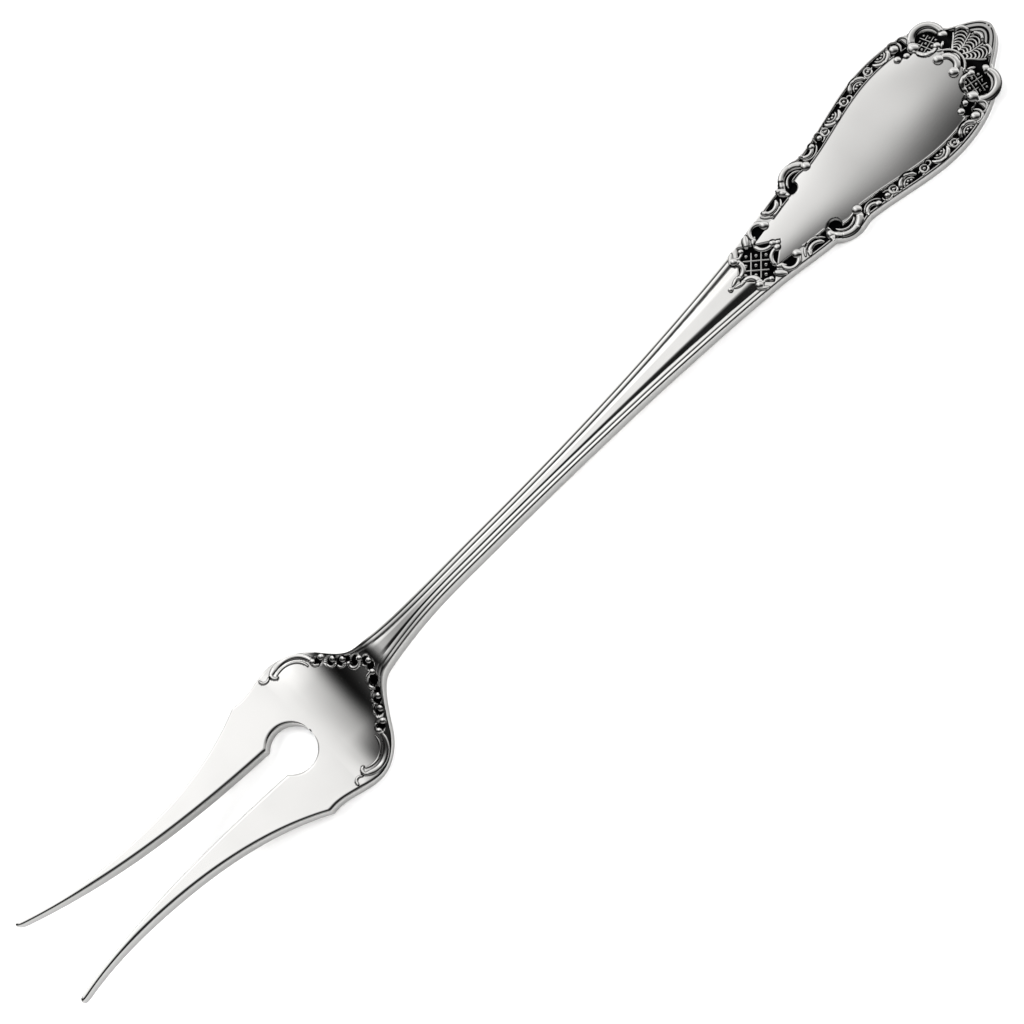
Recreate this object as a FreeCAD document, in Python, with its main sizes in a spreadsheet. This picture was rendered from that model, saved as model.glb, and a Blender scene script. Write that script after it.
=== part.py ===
import FreeCAD, Part
import math
import os

from FreeCAD import Vector

# A two-tined serving fork, blanked, pierced and pressed from one piece of silver alloy.
# X runs along the fork, tines towards -X and handle towards +X. Y runs across, Z is up.
# The fork lies on its back, as on a table: the heel of the bowl and the back of the handle touch Z = 0.
# The origin is on the table, under the middle of the fork's length.

doc = FreeCAD.newDocument("serving_fork")
sheet = doc.addObject("Spreadsheet::Sheet", "Sizes")

# Every driving size: alias, value in millimetres or degrees, what it is.
SIZES = [
    # Stretches that follow each other from the tine tips to the end of the handle.
    ("tip_length", 18.6, "tine tips to the waist of the tines"),
    ("tine_length", 29.3, "waist of the tines to the centre of the eye"),
    ("heel_length", 6.7, "centre of the eye to the widest part of the bowl"),
    ("flank_length", 6.4, "widest part of the bowl to the middle of its flank"),
    ("root_length", 6.3, "middle of the flank to the root of the shaft"),
    ("neck_length", 24.7, "root of the shaft to its slimmest part"),
    ("shaft_length", 59.7, "slimmest part of the shaft to the middle of the trellis"),
    ("throat_length", 11.1, "middle of the trellis to the foot of the collar"),
    ("collar_length", 3.9, "foot of the collar to its top"),
    ("dip_length", 2.8, "top of the collar to the dip behind it"),
    ("medallion_length", 16.3, "dip to the widest part of the medallion"),
    ("crown_length", 13.3, "widest part of the medallion to the notch beside the shell"),
    ("shell_length", 4.9, "notch to the end of the handle"),
    # Half widths of the outline, and the angles at which it passes them.
    ("tip_half_spread", 8.35, "middle of a tine tip from the centre line"),
    ("waist_half_width", 6.05, "outer edge of the tines where they stand closest"),
    ("shoulder_half_width", 12.1, "outer corner where a tine meets the bowl"),
    ("bowl_half_width", 13.2, "widest part of the bowl"),
    ("flank_half_width", 9.3, "middle of the flank of the bowl"),
    ("root_half_width", 3.1, "root of the shaft"),
    ("shaft_half_width", 1.93, "slimmest part of the shaft"),
    ("throat_half_width", 4.7, "shaft at the trellis"),
    ("foot_half_width", 6.4, "foot of the collar"),
    ("collar_half_width", 8.15, "top of the collar"),
    ("dip_half_width", 7.85, "dip behind the collar"),
    ("medallion_half_width", 10.8, "widest part of the medallion"),
    ("notch_half_width", 5.0, "notch beside the shell"),
    ("tip_angle", -19.0, "outer edge at the tine tips"),
    ("shoulder_angle", 29.0, "tine edge at the shoulder corner"),
    ("lobe_angle", -14.0, "bowl edge at the shoulder corner"),
    ("flank_angle", -56.0, "bowl edge in the middle of its flank"),
    ("root_angle", -11.0, "edge at the root of the shaft"),
    ("throat_angle", 6.0, "shaft edge at the trellis"),
    ("foot_angle", 50.0, "rise of the collar at its foot"),
    ("dip_angle", 8.5, "medallion edge at the dip"),
    ("notch_angle", -64.0, "medallion edge at the notch"),
    ("shell_angle", -38.0, "shell edge at the notch"),
    # The opening between the tines.
    ("gap_angle", -16.5, "inner edge of a tine at its tip"),
    ("slot_half_width", 2.7, "gap between the tines where it meets the eye"),
    ("tip_width", 0.9, "width of a tine just behind its rounded tip"),
    ("eye_radius", 4.3, "round eye at the root of the tines"),
    ("shoulder_setback", 2.0, "shoulder corner in front of the centre of the eye"),
    # Lift of the back above the table, and thickness of the metal.
    ("tip_lift", 11.7, "back of the tine tips"),
    ("waist_lift", 6.5, "back of the tines at their waist"),
    ("eye_lift", 0.9, "back of the bowl beside the eye"),
    ("flank_lift", 0.95, "back of the bowl in the middle of its flank"),
    ("root_lift", 3.0, "back at the root of the shaft"),
    ("shaft_lift", 3.1, "back of the slimmest shaft"),
    ("throat_lift", 0.8, "back under the trellis"),
    ("tip_thickness", 1.9, "tine tips"),
    ("tine_thickness", 2.8, "tines at their waist"),
    ("heel_thickness", 2.3, "bowl at the heel"),
    ("shaft_thickness", 2.6, "neck and shaft"),
    ("handle_thickness", 2.3, "handle under the medallion"),
    ("medallion_crown", 0.45, "rise of the middle of the medallion over its edge"),
    ("medallion_reach", 17.0, "middle of the medallion's dome to where it sinks into the front, along the fork"),
    # Threads that run along both edges of the shaft.
    ("thread_width", 0.72, "width of one thread"),
    ("thread_depth", 0.28, "depth of the groove between threads"),
    ("groove_width", 0.4, "width of a groove at the surface"),
    ("thread_start", 3.0, "start of the threads in front of the root of the shaft"),
    ("thread_stop", 2.2, "end of the threads in front of the middle of the trellis"),
    # Pressed ornament.
    ("ground_depth", 0.4, "sunk ground between the scrolls, below the front"),
    ("scroll_rise", 0.3, "tops of the scrolls above the front"),
    ("rim_width", 0.35, "plain rim outside the border"),
    ("border_width", 1.75, "sunk border inside the rim"),
    ("lattice_pitch", 1.6, "studs of the trellis along a bar"),
    ("stud_radius", 0.3, "stud of the trellis"),
    ("petal_radius", 1.45, "crescent petal of the border"),
    ("petal_width", 0.4, "width of a petal's edge"),
    ("bead_radius", 0.4, "bead in the hollow of a petal"),
    ("knop_radius", 0.5, "knop between two petals"),
    ("fan_setback", 8.5, "centre of the shell's ribs in front of the end"),
    ("rib_width", 0.3, "rib of the shell"),
    ("rib_start", 2.4, "centre of the shell to the start of its ribs"),
    ("shell_ground_radius", 4.9, "centre of the shell to the rim of its ground"),
    ("shell_half_angle", 46.0, "half of the angle that the shell fans out over"),
]
for row, (alias, value, meaning) in enumerate(SIZES, start=1):
    sheet.set(f"A{row}", meaning)
    sheet.set(f"B{row}", str(value))
    sheet.setAlias(f"B{row}", alias)
doc.recompute()


def size(alias):
    return float(sheet.get(alias))


# Stations along X, each the end of its stretch. The fork is centred on the origin.
STRETCHES = [
    ("tips", None),
    ("waist", "tip_length"),
    ("eye", "tine_length"),
    ("bowl", "heel_length"),
    ("flank", "flank_length"),
    ("root", "root_length"),
    ("shaft", "neck_length"),
    ("throat", "shaft_length"),
    ("foot", "throat_length"),
    ("collar", "collar_length"),
    ("dip", "dip_length"),
    ("medallion", "medallion_length"),
    ("notch", "crown_length"),
    ("end", "shell_length"),
]
overall_length = sum(size(stretch) for _, stretch in STRETCHES[1:])
station = {}
reached = -overall_length / 2
for name, stretch in STRETCHES:
    if stretch:
        reached += size(stretch)
    station[name] = reached
station["shoulder"] = station["eye"] - size("shoulder_setback")


def heading(angle):
    return Vector(math.cos(math.radians(angle)), math.sin(math.radians(angle)), 0)


def bend(start, start_angle, end, end_angle):
    """A smooth edge in the plan that leaves start and reaches end at the given angles."""
    handle = (end - start).Length / 3
    curve = Part.BezierCurve()
    curve.setPoles([start, start + heading(start_angle) * handle, end - heading(end_angle) * handle, end])
    return curve


def plan(name, half_width):
    return Vector(station[name], size(half_width), 0)


# The outline on the +Y side, from the tine tip to the end of the handle.
tip_radius = size("tip_width") / 2
tip_outer = plan("tips", "tip_half_spread") + Vector(tip_radius, tip_radius, 0)
tip_inner = tip_outer - Vector(0, size("tip_width"), 0)
# Each row: a station that the edge passes, and the angles at which it arrives and departs.
EDGE = []
COURSE = [
    ("waist", 0, 0),
    ("shoulder", "shoulder_angle", "lobe_angle"),
    ("bowl", 0, 0),
    ("flank", "flank_angle", "flank_angle"),
    ("root", "root_angle", "root_angle"),
    ("shaft", 0, 0),
    ("throat", "throat_angle", "throat_angle"),
    ("foot", "throat_angle", "foot_angle"),
    ("collar", 0, 0),
    ("dip", "dip_angle", "dip_angle"),
    ("medallion", 0, 0),
    ("notch", "notch_angle", "shell_angle"),
]


def angle_of(value):
    return size(value) if value else 0


place, leaving = tip_outer, size("tip_angle")
for name, arriving, departing in COURSE:
    target = plan(name, name + "_half_width")
    EDGE.append(bend(place, leaving, target, angle_of(arriving)))
    place, leaving = target, angle_of(departing)
EDGE.append(bend(place, leaving, Vector(station["end"], 0, 0), -90))


def mirrored(shape):
    return shape.mirror(Vector(0, 0, 0), Vector(0, 1, 0))


def closed_face(edges):
    return Part.Face(Part.Wire(Part.__sortEdges__(edges)))


# The gap: two inner tine edges that run on into the round eye. The tips are rounded.
mouth_reach = math.sqrt(size("eye_radius") ** 2 - size("slot_half_width") ** 2)
mouth = Vector(station["eye"] - mouth_reach, size("slot_half_width"), 0)
gap_end = Vector(station["eye"], mouth.y, 0)
tip_front = plan("tips", "tip_half_spread")
gap_edge = [
    Part.Arc(tip_outer, tip_front, tip_inner),
    bend(tip_inner, size("gap_angle"), mouth, 0),
    Part.LineSegment(mouth, gap_end),
]
half_edges = [curve.toShape() for curve in EDGE + gap_edge]
gap_floor = Part.LineSegment(gap_end, Vector(gap_end.x, -gap_end.y, 0)).toShape()
outline = closed_face(half_edges + [mirrored(edge) for edge in half_edges] + [gap_floor])

# The side view: lift of the back above the table and thickness of the metal at each station.
SIDE = [
    ("tips", size("tip_lift"), size("tip_thickness")),
    ("waist", size("waist_lift"), size("tine_thickness")),
    ("eye", size("eye_lift"), size("heel_thickness")),
    ("bowl", 0.0, size("heel_thickness")),
    ("flank", size("flank_lift"), size("heel_thickness")),
    ("root", size("root_lift"), size("shaft_thickness")),
    ("shaft", size("shaft_lift"), size("shaft_thickness")),
    ("throat", size("throat_lift"), size("handle_thickness")),
    ("medallion", 0.0, size("handle_thickness")),
    ("end", 0.0, size("handle_thickness")),
]
OVERLAP = 2.0
HALVINGS = 40
reach_y = size("bowl_half_width") + OVERLAP
top = size("tip_lift") + size("tine_thickness") + OVERLAP


def side_curve(heights):
    """A smooth line through the stations in the side view."""
    curve = Part.BSplineCurve()
    curve.interpolate([Vector(station[name], 0, z) for (name, _, _), z in zip(SIDE, heights)])
    return curve


back_curve = side_curve([lift for _, lift, _ in SIDE])
front_curve = side_curve([lift + thickness for _, lift, thickness in SIDE])


def side_profile(curve, level):
    """The face in the side view between a side curve, drawn on straight at its ends, and a level line."""
    ends = [curve.FirstParameter, curve.LastParameter]
    first, last = (curve.value(end) for end in ends)
    before = first - curve.tangent(ends[0])[0] * OVERLAP
    after = last + curve.tangent(ends[1])[0] * OVERLAP
    corners = [last, after, Vector(after.x, 0, level), Vector(before.x, 0, level), before, first]
    edges = [Part.LineSegment(a, b).toShape() for a, b in zip(corners, corners[1:])]
    face = closed_face(edges + [curve.toShape()])
    face.translate(Vector(0, -reach_y, 0))
    return face


def feature(kind, name, **properties):
    item = doc.addObject(kind, name)
    for key, value in properties.items():
        setattr(item, key, value)
    return item


def drawn_out(name, profile, direction, length):
    """A profile drawn out along a direction, by a length from the sheet."""
    face = feature("Part::Feature", name + "_profile", Shape=profile)
    solid = feature("Part::Extrusion", name, Base=face, DirMode="Custom", Dir=direction, Solid=True)
    solid.setExpression("LengthFwd", length)
    return solid


# Blanking and bending: the outline cut from metal that lies between the back and the front.
whole_width = f"2 * Sizes.bowl_half_width + {2 * OVERLAP}"
whole_height = f"Sizes.tip_lift + Sizes.tine_thickness + {OVERLAP}"
upright = drawn_out("outline", outline, Vector(0, 0, 1), whole_height)
front_metal = drawn_out("front_metal", side_profile(front_curve, -OVERLAP), Vector(0, 1, 0), whole_width)
back_metal = drawn_out("back_metal", side_profile(back_curve, top), Vector(0, 1, 0), whole_width)
blank = feature("Part::MultiCommon", "blank", Shapes=[upright, front_metal, back_metal])

# The eye is bored square to the table, through the whole thickness.
eye = feature("Part::Cylinder", "eye")
eye.setExpression("Radius", "Sizes.eye_radius")
eye.setExpression("Height", "Sizes.eye_lift + Sizes.tip_lift + Sizes.heel_thickness")
eye.setExpression("Placement.Base.x", f"{station['tips']} + Sizes.tip_length + Sizes.tine_length")
pierced = feature("Part::Cut", "pierced", Base=blank, Tool=eye)


def parameter_at(curve, x):
    """Where on a curve that runs towards +X it passes x."""
    first, last = curve.FirstParameter, curve.LastParameter
    for _ in range(HALVINGS):
        middle = (first + last) / 2
        if curve.value(middle).x < x:
            first = middle
        else:
            last = middle
    return first


def front_height(x):
    return front_curve.value(parameter_at(front_curve, min(x, station["end"]))).z


def edge_at(x):
    """Half width of the outline at x."""
    for curve in EDGE:
        if curve.StartPoint.x <= x <= curve.EndPoint.x:
            return curve.value(parameter_at(curve, x)).y
    return 0.0


# Threads: two beads along each edge of the shaft, parted by grooves that are V-shaped in section.
THREAD_STEPS = 10


def thread_groove(number):
    start = station["root"] - size("thread_start")
    finish = station["throat"] - size("thread_stop")
    sections = []
    for step in range(THREAD_STEPS + 1):
        x = start + (finish - start) * step / THREAD_STEPS
        middle = Vector(x, edge_at(x) - number * size("thread_width"), front_height(x))
        side = Vector(0, size("groove_width"), size("thread_depth"))
        corners = [middle + side, middle - Vector(0, 0, side.z), middle + Vector(0, -side.y, side.z)]
        sections.append(Part.makePolygon(corners + corners[:1]))
    return Part.makeLoft(sections, True, False)


grooves = [thread_groove(number) for number in (1, 2)]
groove_tool = feature("Part::Feature", "thread_grooves")
groove_tool.Shape = Part.makeCompound(grooves + [mirrored(groove) for groove in grooves])
threaded = feature("Part::Cut", "threaded", Base=pierced, Tool=groove_tool)


def place_at(name, along, base, distance):
    """A point past a station, at a distance outwards from the axis or inwards from the edge."""
    x = station[name] + along
    return Vector(x, distance if base == "axis" else edge_at(x) - distance, 0)


def disc(centre, radius):
    """A round face, or an eight-sided one where it is too small for the difference to show."""
    if radius < SMALLEST_ROUND:
        return polygon([centre + heading(360 * corner / 8) * radius for corner in range(8)])
    return Part.Face(Part.Wire(Part.Circle(centre, Vector(0, 0, 1), radius).toShape()))


def polygon(points):
    return Part.Face(Part.makePolygon(points + points[:1]))


def arc(centre, radii, start, sweep):
    """An arc round centre that goes from one radius to another."""
    turns = [(start, radii[0]), (start + sweep / 2, sum(radii) / 2), (start + sweep, radii[1])]
    return Part.Arc(*[centre + heading(angle) * radius for angle, radius in turns])


def curl(centre, radii, start, sweep, widths):
    """A curled strip round centre, from one radius and width to another."""
    outer = arc(centre, [r + w / 2 for r, w in zip(radii, widths)], start, sweep)
    inner = arc(centre, [r - w / 2 for r, w in zip(radii, widths)], start, sweep)
    caps = [
        Part.LineSegment(centre + heading(turn) * (r + w / 2), centre + heading(turn) * (r - w / 2))
        for turn, r, w in zip((start, start + sweep), radii, widths)
    ]
    return closed_face([curve.toShape() for curve in [outer, inner] + caps])


def bar(start, end, width):
    run = end - start
    side = Vector(-run.y, run.x, 0) * (width / 2 / run.Length)
    return polygon([start - side, start + side, end + side, end - side])


SMALLEST_ROUND = 0.7

# Scrolls of the pressed ornament on the +Y side. Each row: what it is, the station it is set out from, how far
# past that its centre lies, the distance of the centre outwards from the axis or inwards from the edge, radius
# at the start and end, start angle, sweep, width at the start and end, and the radius of the boss at its end.
SCROLLS = [
    ("bowl scroll", "bowl", 2.1, "axis", 9.6, 2.4, 3.4, 155, -180, 0.6, 0.4, 0.0),
    ("neck curl", "root", -2.5, "axis", 2.0, 1.1, 1.1, 170, 150, 0.35, 0.35, 0.4),
    ("near trellis curl", "throat", -3.3, "axis", 2.1, 1.65, 1.45, -142, 160, 0.4, 0.6, 0.55),
    ("far trellis curl", "throat", 3.7, "axis", 2.1, 1.65, 1.65, 163, 127, 0.5, 0.4, 0.45),
    ("thread end curl", "throat", -0.5, "edge", 0.45, 1.0, 1.0, 195, 140, 0.35, 0.35, 0.0),
    ("leaf curl", "throat", 4.3, "edge", 1.6, 1.5, 1.6, 190, -190, 0.4, 0.4, 0.6),
    ("foot crescent", "foot", -2.6, "edge", -0.15, 1.75, 1.75, 208, 147, 0.55, 0.3, 0.0),
    ("collar stem", "foot", 1.7, "edge", 2.3, 1.4, 1.4, 235, -85, 0.8, 0.6, 0.0),
    ("collar scroll", "collar", -0.3, "edge", 2.95, 2.6, 2.7, 175, -165, 0.5, 0.9, 0.65),
    ("dip curl", "dip", 0.7, "edge", 0.05, 1.25, 1.25, 190, 150, 0.5, 0.5, 0.5),
    ("border end curl", "notch", -7.8, "edge", 1.3, 1.25, 1.25, 200, -230, 0.3, 0.3, 0.0),
    ("corner scroll", "notch", -3.4, "axis", 6.2, 2.5, 2.5, 165, -190, 0.9, 0.8, 0.65),
    ("corner inner curl", "notch", -4.2, "axis", 4.9, 1.6, 1.6, 155, 140, 0.5, 0.4, 0.4),
    ("volute", "end", -9.4, "axis", 0.0, 1.9, 1.9, 0, 85, 0.9, 0.7, 0.6),
]
# Studs and beads on the +Y side. Each row: what it is, its place as above, and its radius.
STUDS = [
    ("lobe of the bowl", "bowl", -2.1, "axis", 11.9, 0.6),
    ("first flank bead", "flank", 1.3, "axis", 5.06, 0.5),
    ("second flank bead", "flank", 2.5, "axis", 3.96, 0.45),
    ("neck bead", "root", -1.2, "axis", 0.0, 0.4),
    ("trellis end stud", "throat", 4.7, "axis", 0.0, 0.45),
    ("foot stud", "foot", 0.8, "edge", 2.8, 0.6),
    ("dip stud", "dip", 3.7, "edge", 0.75, 0.6),
    ("border end boss", "notch", -7.8, "edge", 1.3, 0.75),
    ("corner stud", "notch", -3.4, "axis", 6.2, 0.4),
]
relief = []
for _, name, along, base, distance, *radii, start, sweep, start_width, end_width, boss in SCROLLS:
    centre = place_at(name, along, base, distance)
    relief.append(curl(centre, radii, start, sweep, (start_width, end_width)))
    if boss:
        relief.append(disc(centre + heading(start + sweep) * radii[1], boss))
for _, name, along, base, distance, radius in STUDS:
    relief.append(disc(place_at(name, along, base, distance), radius))

# The border: crescent petals that open outwards and inwards in turn, each with a bead in its hollow, and a
# knop before each petal. Each is placed by its share of the length from the dip to the end.
PETALS = [(0.215, "edge"), (0.40, "axis"), (0.565, "edge")]
PETAL_SWEEP = 150
KNOP_SHARES = [0.145, 0.305, 0.48]
border_depth = size("rim_width") + size("border_width")
border_length = station["end"] - station["dip"]
for share, opens_to in PETALS:
    outward = 1 if opens_to == "edge" else -1
    depth = size("rim_width") if opens_to == "edge" else border_depth
    centre = place_at("dip", share * border_length, "edge", depth)
    radius, width = size("petal_radius"), size("petal_width")
    start = -90 * outward - PETAL_SWEEP / 2
    relief.append(curl(centre, (radius, radius), start, PETAL_SWEEP, (width, width)))
    relief.append(disc(centre - Vector(0, outward * radius / 2, 0), size("bead_radius")))
for share in KNOP_SHARES:
    relief.append(disc(place_at("dip", share * border_length, "edge", border_depth / 2), size("knop_radius")))

# The trellis: studs on a lattice that stands on its corner.
trellis = Vector(station["throat"], 0, 0)
step = size("lattice_pitch") / math.sqrt(2)
for row in (-1, 0, 1):
    for column in (-1, 0, 1):
        if row + column >= 0:
            stud = trellis + Vector((row - column) * step, (row + column) * step, 0)
            relief.append(disc(stud, size("stud_radius")))

# The shell: ribs that fan out over sunk ground, with two ridges across them.
fan = Vector(station["end"] - size("fan_setback"), 0, 0)
shell_ground = size("shell_ground_radius")
for share in (0.3, 0.9):
    rib = heading(share * size("shell_half_angle"))
    relief.append(bar(fan + rib * size("rib_start"), fan + rib * shell_ground, size("rib_width")))
for share in (0.35, 0.75):
    ridge = size("rib_start") + share * (shell_ground - size("rib_start"))
    widths = (size("rib_width"), size("rib_width"))
    relief.append(curl(fan, (ridge, ridge), 0, size("shell_half_angle"), widths))

# The sunk ground: the diamond of the trellis, round grounds inside the larger scrolls, the border and the shell.
BORDER_STEPS = 6


def border_curve(depth):
    """A line inside the edge, from the foot of the collar to the corner scrolls."""
    start, finish = station["foot"] - 4.0, station["notch"] - 6.0
    xs = [start + (finish - start) * step / BORDER_STEPS for step in range(BORDER_STEPS + 1)]
    curve = Part.BSplineCurve()
    curve.interpolate([place_at("tips", x - station["tips"], "edge", depth) for x in xs])
    return curve


outer, inner = border_curve(size("rim_width")), border_curve(border_depth)
border_ends = [(outer.StartPoint, inner.StartPoint), (outer.EndPoint, inner.EndPoint)]
border_caps = [Part.LineSegment(a, b) for a, b in border_ends]
rib_length = shell_ground - size("rib_start")
shell_radii = [size("rib_start") + rib_length / 2] * 2
GROUND_DISCS = [
    ("inside the leaf curl", "throat", 4.3, "edge", 1.6, 1.4),
    ("inside the collar stem", "foot", 0.5, "edge", 2.0, 1.4),
    ("inside the corner scroll", "notch", -3.4, "axis", 6.2, 2.5),
]
DIAMOND = [(-3.6, 0.0), (0.0, 4.2), (5.4, 0.0), (0.0, -4.2)]
ground = []
for _, name, along, base, distance, radius in GROUND_DISCS:
    ground.append(disc(place_at(name, along, base, distance), radius))
ground.append(polygon([trellis + Vector(x, y, 0) for x, y in DIAMOND]))
ground.append(closed_face([curve.toShape() for curve in [outer, inner] + border_caps]))
ground.append(curl(fan, shell_radii, 0, size("shell_half_angle"), (rib_length, rib_length)))

# The dome of the medallion: a wide, shallow crown inside the border.
dome_middle = (outer.EndPoint.x + station["dip"]) / 2
dome_edge = [inner.StartPoint, inner.EndPoint]
dome_sides = [inner.toShape(), mirrored(inner.toShape())]
dome_sides += [Part.LineSegment(point, Vector(point.x, -point.y, 0)).toShape() for point in dome_edge]
dome_plan = drawn_out("dome_plan", closed_face(dome_sides), Vector(0, 0, 1), whole_height)
half_span = f"(Sizes.medallion_half_width - Sizes.rim_width - Sizes.border_width)"
radius_along = "((Sizes.medallion_reach ^ 2 / Sizes.medallion_crown + Sizes.medallion_crown) / 2)"
radius_across = f"(({half_span} ^ 2 / Sizes.medallion_crown + Sizes.medallion_crown) / 2)"
ring = feature("Part::Torus", "ring")
ring.setExpression("Radius1", f"{radius_along} - {radius_across}")
ring.setExpression("Radius2", radius_across)
ring.Placement.Rotation = FreeCAD.Rotation(Vector(1, 0, 0), 90)
ring.setExpression("Placement.Base.x", f"{dome_middle}")
ring.setExpression("Placement.Base.z", f"Sizes.handle_thickness + Sizes.medallion_crown - {radius_along}")
dome = feature("Part::MultiCommon", "dome", Shapes=[dome_plan, ring, back_metal])

# The stamp: the front in flat facets, on which the ground is sunk and the scrolls stand. Each facet reaches
# between two places where the front barely bends.
FACETS = [
    ("eye", 2.0), ("bowl", 0.0), ("bowl", 3.2), ("flank", 0.0), ("flank", 3.2), ("root", 0.0), ("root", 8.0),
    ("throat", -12.0), ("throat", -2.0), ("foot", -3.0), ("dip", 2.5), ("medallion", 0.0), ("end", 2.0),
]
stamp_xs = [station[name] + along for name, along in FACETS]


def stamp(face, low, high):
    """A plan shape drawn up between two heights over the facets of the front."""
    line = [Vector(x, -reach_y, front_height(x)) for x in stamp_xs]
    rise = Vector(0, 0, high)
    drop = Vector(0, 0, low)
    slab = polygon([point + rise for point in line] + [point + drop for point in reversed(line)])
    return face.extrude(Vector(0, 0, top)).common(slab.extrude(Vector(0, 2 * reach_y, 0)))


def both_sides(faces):
    """Plan shapes of the +Y side and their mirror images, joined into one."""
    half = faces[0].multiFuse(faces[1:])
    return half.fuse(mirrored(half)).common(outline).removeSplitter()


sunk_ground = feature("Part::Feature", "sunk_ground")
sunk_ground.Shape = stamp(both_sides(ground), -size("ground_depth"), OVERLAP)
scrolls = feature("Part::Feature", "scrolls")
scrolls.Shape = stamp(both_sides(relief), -2 * size("ground_depth"), size("scroll_rise"))
sunk = feature("Part::Cut", "sunk", Base=threaded, Tool=sunk_ground)
fused = feature("Part::MultiFuse", "fused", Shapes=[sunk, dome, scrolls])
fork = feature("Part::Refine", "fork", Source=fused, Label="serving_fork")
doc.recompute()

for item in doc.Objects:
    if {"Invalid", "Error"} & set(item.State):
        raise RuntimeError(f"{item.Name} did not build: {item.State}")
if fork.Shape.isNull() or not fork.Shape.isValid() or len(fork.Shape.Solids) != 1:
    raise RuntimeError(f"{fork.Label} is not one valid solid")
os.makedirs("parts", exist_ok=True)
fork.Shape.exportStep(f"parts/{fork.Label}.step")
print(fork.Label, round(fork.Shape.Volume, 1), len(fork.Shape.Faces))
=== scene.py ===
import math

import bmesh
import bpy
import numpy as np
from mathutils import Matrix, Vector
from mathutils.kdtree import KDTree


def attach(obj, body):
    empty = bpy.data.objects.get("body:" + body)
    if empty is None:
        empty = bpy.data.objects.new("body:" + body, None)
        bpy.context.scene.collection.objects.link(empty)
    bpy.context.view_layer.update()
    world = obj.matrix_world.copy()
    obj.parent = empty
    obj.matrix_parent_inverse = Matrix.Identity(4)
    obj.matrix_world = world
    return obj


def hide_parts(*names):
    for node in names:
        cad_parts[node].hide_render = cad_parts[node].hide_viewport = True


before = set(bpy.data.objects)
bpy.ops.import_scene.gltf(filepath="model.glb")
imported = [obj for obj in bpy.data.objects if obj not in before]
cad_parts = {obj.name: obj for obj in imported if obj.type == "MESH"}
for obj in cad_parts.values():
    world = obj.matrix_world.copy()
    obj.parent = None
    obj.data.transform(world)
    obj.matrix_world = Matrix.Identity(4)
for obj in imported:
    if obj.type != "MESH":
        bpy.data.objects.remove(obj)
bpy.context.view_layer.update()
scene = bpy.context.scene

# The blank: one piece of sterling silver sheet, cut to outline, pierced with a slot and a round eye
# between the tines, and bent in the side view. The dies press threads along the shaft, sink the ground of
# the ornament and dome the medallion. Everything later stands on this piece, and is pressed with it.
MM = 0.001
# Stations along the axis, from the tips of the tines to the end of the handle, and the stretch before each.
STRETCHES = [
    ("tips", 0), ("waist", 18.6), ("eye", 29.3), ("bowl", 6.7), ("flank", 6.4), ("root", 6.3),
    ("shaft", 24.7), ("throat", 59.7), ("foot", 11.1), ("collar", 3.9), ("dip", 2.8), ("medallion", 16.3),
    ("notch", 13.3), ("end", 4.9),
]
# The shoulder of the bowl lies this far before the station of the eye.
SHOULDER_SETBACK = 2.0
HALF_WIDTHS = {
    "waist": 6.05, "shoulder": 12.1, "bowl": 13.2, "flank": 9.3, "root": 3.1, "shaft": 1.93, "throat": 4.7,
    "foot": 6.4, "collar": 8.15, "dip": 7.85, "medallion": 10.8, "notch": 5.0, "end": 0.0,
}
# Each station that the outer edge passes, and the angles at which it arrives and departs.
COURSE = [
    ("waist", 0, 0), ("shoulder", 29, -14), ("bowl", 0, 0), ("flank", -56, -56), ("root", -11, -11),
    ("shaft", 0, 0), ("throat", 6, 6), ("foot", 6, 50), ("collar", 0, 0), ("dip", 8.5, 8.5),
    ("medallion", 0, 0), ("notch", -64, -38), ("end", -90, -90),
]
# Station, how far past it, lift of the back above the table there, and thickness of the metal.
SIDE = [
    ("tips", 0, 11.7, 1.9), ("waist", 0, 6.5, 2.8), ("eye", 0, 1.0, 2.3), ("bowl", 0, 0.12, 2.3),
    ("bowl", 2.9, 0.0, 2.3), ("flank", 0.6, 0.38, 2.3), ("flank", 4.0, 1.95, 2.35),
    ("root", -0.9, 2.82, 2.45), ("root", 0.2, 3.12, 2.55), ("root", 2.0, 3.18, 2.6), ("root", 10, 3.5, 2.6),
    ("shaft", 0, 3.15, 2.6), ("shaft", 22, 2.05, 2.5), ("throat", 0, 0.8, 2.3), ("medallion", 0, 0.0, 2.3),
    ("end", 0, 0.0, 2.3),
]
# The eye: half its width and length, how far its middle lies past its station, and half the slot's width.
EYE_HALF_WIDTH, EYE_HALF_LENGTH, EYE_SHIFT, SLOT_HALF_WIDTH = 4.3, 3.95, 0.25, 2.7
# A tip: its width, its distance from the axis, and the angles at which its outer and inner edge leave it.
TIP_WIDTH, TIP_HALF_SPREAD, TIP_ANGLE, GAP_ANGLE = 0.9, 8.35, -19, -16.5
# Its rounding: length in the plan, radius in the side view, and share of a full round that it closes.
TIP_ROUND, TIP_NOSE, TIP_CLOSURE = 1.4, 0.65, 0.98

station = {}
reached = -sum(stretch for _, stretch in STRETCHES) / 2
for name, stretch in STRETCHES:
    reached += stretch
    station[name] = reached
station["shoulder"] = station["eye"] - SHOULDER_SETBACK
eye_middle = station["eye"] + EYE_SHIFT


def heading(angle):
    """A step of length 1 at an angle in degrees."""
    return np.array([math.cos(math.radians(angle)), math.sin(math.radians(angle))])


def bend(start, start_angle, end, end_angle, steps=160):
    """Points of a smooth edge that leaves start and reaches end at the given angles."""
    start, end = np.array(start), np.array(end)
    handle = np.linalg.norm(end - start) / 3
    near, far = start + heading(start_angle) * handle, end - heading(end_angle) * handle
    t = np.linspace(0, 1, steps)[:, None]
    return start * (1 - t) ** 3 + 3 * near * t * (1 - t) ** 2 + 3 * far * t**2 * (1 - t) + end * t**3


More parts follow.
